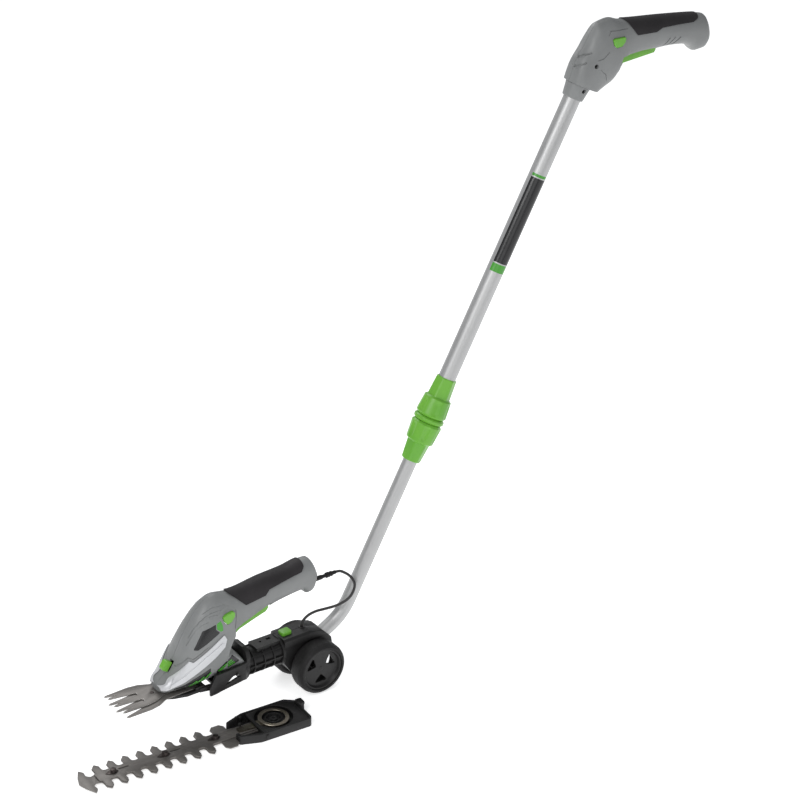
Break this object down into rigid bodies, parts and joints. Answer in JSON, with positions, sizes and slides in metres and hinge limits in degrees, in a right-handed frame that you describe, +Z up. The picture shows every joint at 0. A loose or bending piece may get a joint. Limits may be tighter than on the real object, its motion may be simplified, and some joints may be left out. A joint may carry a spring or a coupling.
{
  "type": "cordless shrub shears",
  "caption": "Battery grass shears in a wheeled cradle on a telescopic pole with an upper grip and trigger, and a spare hedge blade beside it.",
  "frame": {"origin": "under the middle of the box round everything but the cord and its plug, on the ground", "axes": "+X from the blades to the handle, +Y to the tool's right, +Z up"},
  "size_m": [0.9576, 0.1288, 0.7846],
  "materials": {
    "black_plastic": "fine moulded grain",
    "grey_plastic": "satin moulded",
    "green_plastic": "semi-gloss moulded",
    "rubber": "soft matte overmould",
    "tyre": "matte, plain tread",
    "aluminium": "satin anodised",
    "steel": "satin, oiled",
    "silver_plastic": "bright metallic paint",
    "brass": "satin"
  },
  "bodies": {
    "frame": {"axle": "steel", "block_left": "black_plastic", "block_right": "black_plastic", "cord_gland": "rubber", "lower_tube": "aluminium", "cord": "rubber"},
    "wheel_left": {"wheel_left_tyre": "tyre", "wheel_left_rim": "black_plastic"},
    "wheel_right": {"wheel_right_tyre": "tyre", "wheel_right_rim": "black_plastic"},
    "swivel_button": {"swivel_button": "green_plastic"},
    "head": {"head_shell_left": "grey_plastic", "head_shell_right": "grey_plastic", "head_grip": "rubber", "head_trim_left": "silver_plastic", "head_trim_right": "silver_plastic", "head_trigger_pin": "steel", "battery_pack": "black_plastic", "head_switch": "black_plastic", "motor": "steel", "motor_mount": "black_plastic", "blade_carrier": "black_plastic", "grass_blade_fixed": "steel", "blade_pivot": "steel", "power_socket": "black_plastic", "cord_plug": "black_plastic", "swivel_neck": "black_plastic", "cradle": "black_plastic"},
    "grass_blade": {"grass_blade_moving": "steel"},
    "drive_gear": {"drive_gear": "black_plastic"},
    "motor_pinion": {"motor_pinion": "steel"},
    "head_trigger": {"head_trigger": "green_plastic"},
    "head_lock_button": {"head_lock_button": "green_plastic"},
    "blade_release": {"blade_release": "green_plastic"},
    "pole": {"upper_tube": "aluminium", "lock_collet": "black_plastic", "lock_ring": "green_plastic", "lock_collar": "green_plastic", "handle_collar": "grey_plastic", "handle_shell_left": "grey_plastic", "handle_shell_right": "grey_plastic", "handle_grip": "rubber", "handle_switch": "black_plastic", "handle_trigger_pin": "steel"},
    "lock_nut": {"lock_nut": "green_plastic"},
    "handle_trigger": {"handle_trigger": "green_plastic"},
    "handle_lock_button": {"handle_lock_button": "green_plastic"},
    "spare_unit": {"hedge_blade_fixed": "steel", "hedge_bolt_1": "steel", "hedge_bolt_2": "steel", "hedge_bolt_3": "steel", "spare_holder": "black_plastic", "spare_cover": "black_plastic", "spare_latch": "black_plastic"},
    "hedge_blade": {"hedge_blade_moving": "steel", "drive_ring": "brass"},
    "drive_cup": {"drive_cup": "black_plastic"}
  },
  "joints": [
    {"name": "wheel_left_spin", "type": "hinge", "parent": "frame", "child": "wheel_left", "pos_m": [-0.12573, -0.00013, 0.034], "axis": [0, 1, 0], "continuous": true},
    {"name": "wheel_right_spin", "type": "hinge", "parent": "frame", "child": "wheel_right", "pos_m": [-0.12573, 0.05187, 0.034], "axis": [0, 1, 0], "continuous": true},
    {"name": "swivel_button_press", "type": "slide", "parent": "frame", "child": "swivel_button", "axis": [0, 0, -1], "range_m": [0, 0.003], "stiffness_N_per_m": 400, "springref_m": -0.001},
    {"name": "head_swivel", "type": "hinge", "parent": "frame", "child": "head", "pos_m": [-0.16723, 0.02587, 0.061], "axis": [1, 0, 0], "range_deg": [-90, 90], "deforming": ["cord"]},
    {"name": "grass_blade_swing", "type": "hinge", "parent": "head", "child": "grass_blade", "pos_m": [-0.34973, 0.02587, 0.064], "axis": [0, 0, 1], "range_deg": [-5.7, 5.7]},
    {"name": "drive_gear_spin", "type": "hinge", "parent": "head", "child": "drive_gear", "pos_m": [-0.31973, 0.02587, 0.072], "axis": [0, 0, 1], "continuous": true},
    {"name": "motor_pinion_spin", "type": "hinge", "parent": "head", "child": "motor_pinion", "pos_m": [-0.30173, 0.02587, 0.072], "axis": [0, 0, 1], "continuous": true},
    {"name": "head_trigger_squeeze", "type": "hinge", "parent": "head", "child": "head_trigger", "pos_m": [-0.18973, 0.02587, 0.1395], "axis": [0, 1, 0], "range_deg": [0, 6], "stiffness_Nm_per_rad": 0.6, "springref_deg": -8.59},
    {"name": "head_lock_press", "type": "slide", "parent": "head", "child": "head_lock_button", "axis": [0, 1, 0], "range_m": [0, 0.003], "stiffness_N_per_m": 300, "springref_m": -0.001},
    {"name": "blade_release_press", "type": "slide", "parent": "head", "child": "blade_release", "axis": [1, 0, 0], "range_m": [0, 0.003], "stiffness_N_per_m": 300, "springref_m": -0.001},
    {"name": "pole_slide", "type": "slide", "parent": "frame", "child": "pole", "axis": [0.4879, 0, 0.8729], "range_m": [-0.15, 0.15]},
    {"name": "lock_nut_turn", "type": "hinge", "parent": "pole", "child": "lock_nut", "pos_m": [0.04525, 0.02587, 0.28669], "axis": [0.4879, 0, 0.8729], "range_deg": [0, 90]},
    {"name": "handle_trigger_squeeze", "type": "hinge", "parent": "pole", "child": "handle_trigger", "pos_m": [0.38977, 0.02587, 0.739], "axis": [0, 1, 0], "range_deg": [0, 5], "stiffness_Nm_per_rad": 0.6, "springref_deg": -8.59},
    {"name": "handle_lock_press", "type": "slide", "parent": "pole", "child": "handle_lock_button", "axis": [0, 1, 0], "range_m": [0, 0.003], "stiffness_N_per_m": 300, "springref_m": -0.001},
    {"name": "spare_draw_aside", "type": "slide", "parent": "frame", "child": "spare_unit", "axis": [0, -1, 0], "range_m": [0, 0.05]},
    {"name": "hedge_blade_stroke", "type": "slide", "parent": "spare_unit", "child": "hedge_blade", "axis": [0.9976, -0.0698, 0], "range_m": [-0.004, 0.004]},
    {"name": "drive_cup_spin", "type": "hinge", "parent": "spare_unit", "child": "drive_cup", "pos_m": [-0.2142, -0.03399, 0], "axis": [0, 0, 1], "continuous": true}
  ],
  "couplings": [
    {"joint": "motor_pinion_spin", "follows": "drive_gear_spin", "ratio": -2}
  ]
}
